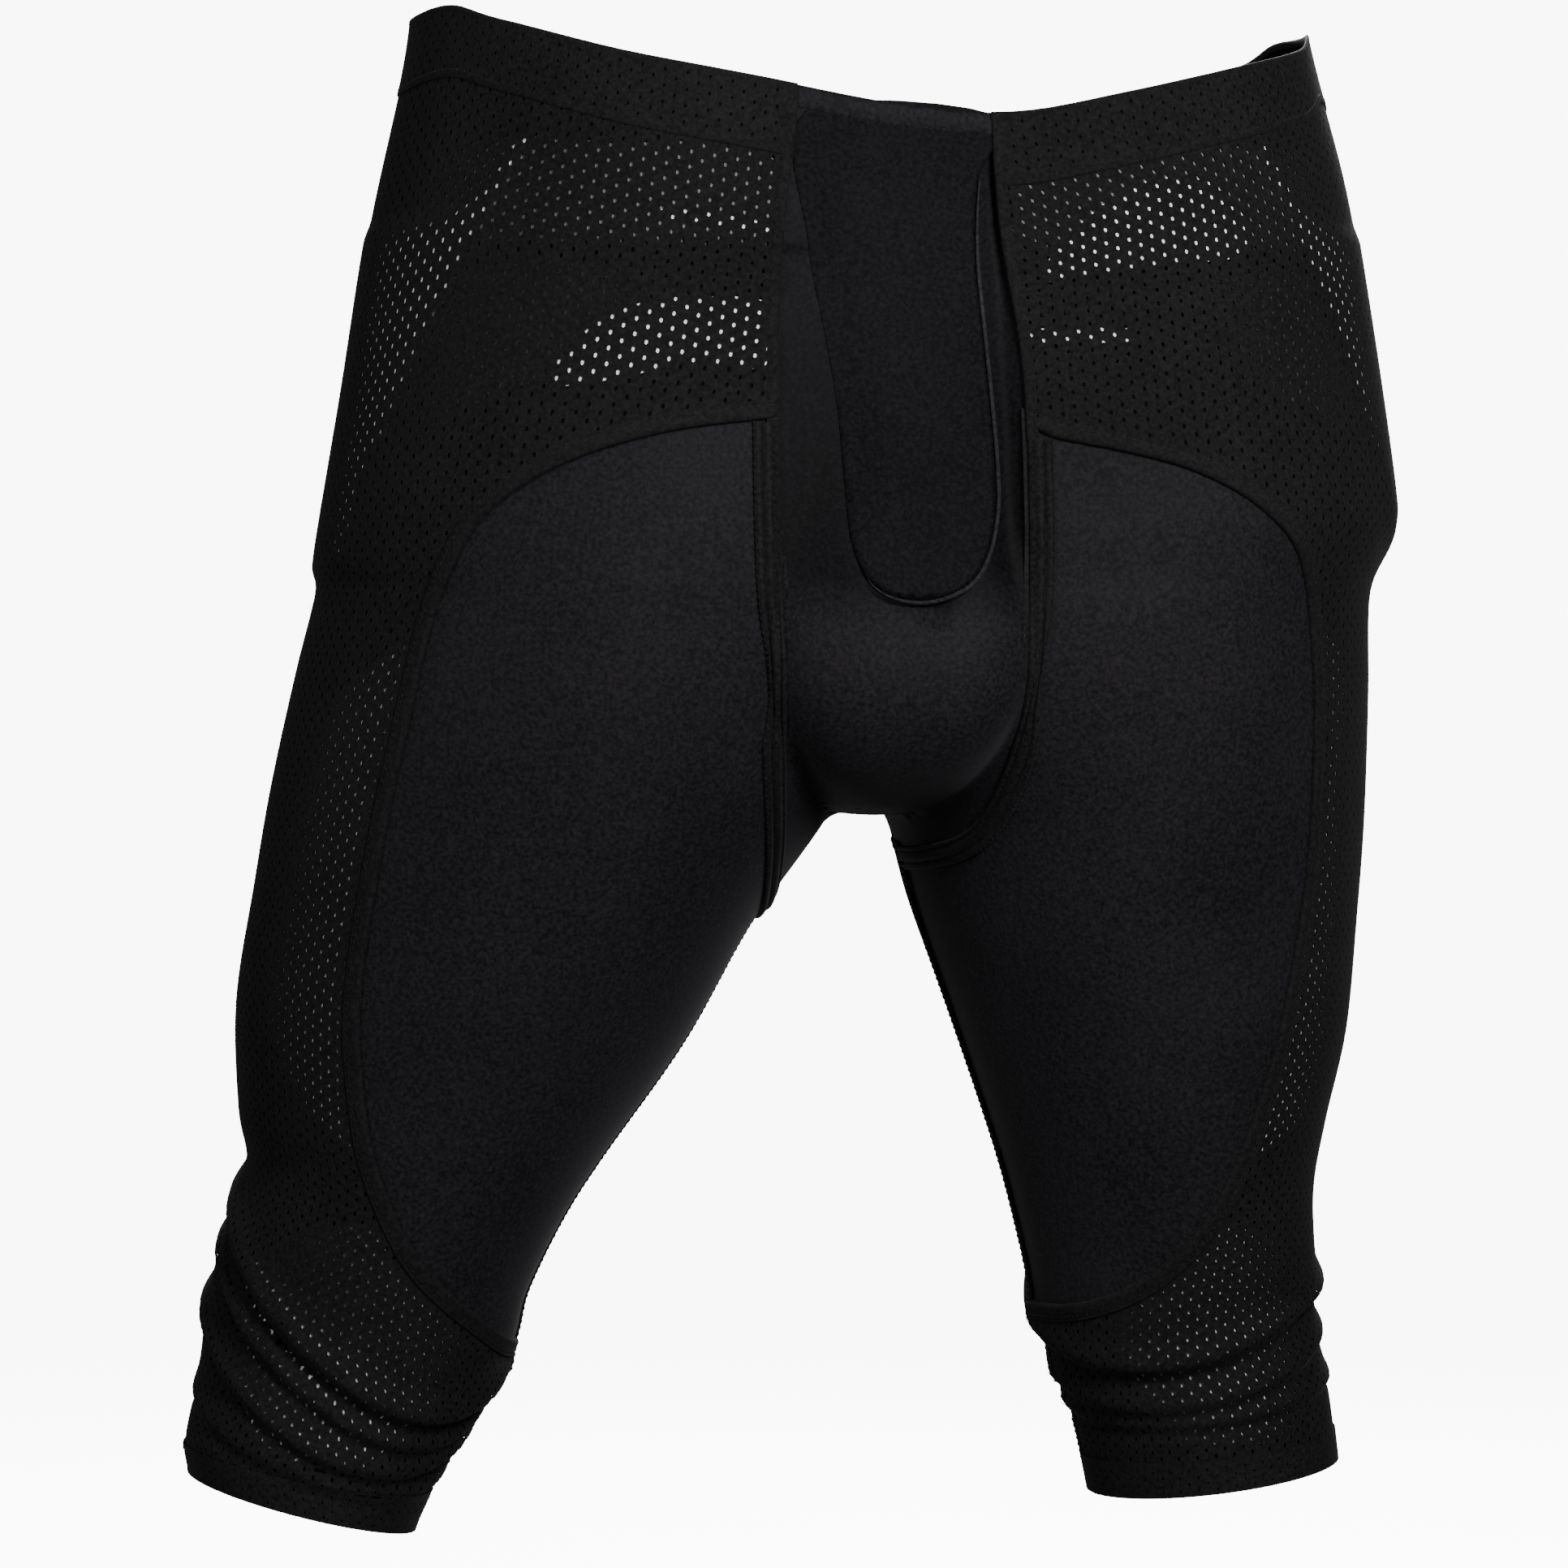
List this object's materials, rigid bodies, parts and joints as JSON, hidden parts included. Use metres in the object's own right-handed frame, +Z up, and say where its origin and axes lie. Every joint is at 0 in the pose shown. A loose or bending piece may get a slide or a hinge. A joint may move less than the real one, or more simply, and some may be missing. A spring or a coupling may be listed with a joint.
{
  "type": "integrated football pants",
  "caption": "Knee-length football pants of perforated mesh and smooth knit, with foam pads sewn in over hips, thighs and knees, in their worn form.",
  "frame": {"origin": "middle of the waist opening, at the height where the waistband's sides end", "axes": "+Z up along the wearer's body, the front faces -Y, +X towards the wearer's left side"},
  "size_m": [0.4332, 0.2525, 0.537],
  "materials": {
    "perforated_mesh": "matt knitted mesh with staggered oval holes 2 mm long",
    "smooth_knit": "satin stretch knit",
    "folded_mesh": "double mesh, folded and stitched",
    "seam_binding": "stitched seam tape",
    "foam": "pale closed-cell foam, matt"
  },
  "bodies": {
    "root": {"front_panel": "smooth_knit", "fly_pad": "smooth_knit", "waistband": "folded_mesh", "cuff_right": "folded_mesh", "thigh_panel_right": "smooth_knit", "mesh_right": "perforated_mesh", "hem_right": "seam_binding", "welt_right": "seam_binding", "hip_pad_right": "foam", "thigh_pad_right": "foam", "knee_pad_right": "foam", "cuff_left": "folded_mesh", "thigh_panel_left": "smooth_knit", "mesh_left": "perforated_mesh", "hem_left": "seam_binding", "welt_left": "seam_binding", "hip_pad_left": "foam", "thigh_pad_left": "foam", "knee_pad_left": "foam"}
  },
  "joints": []
}
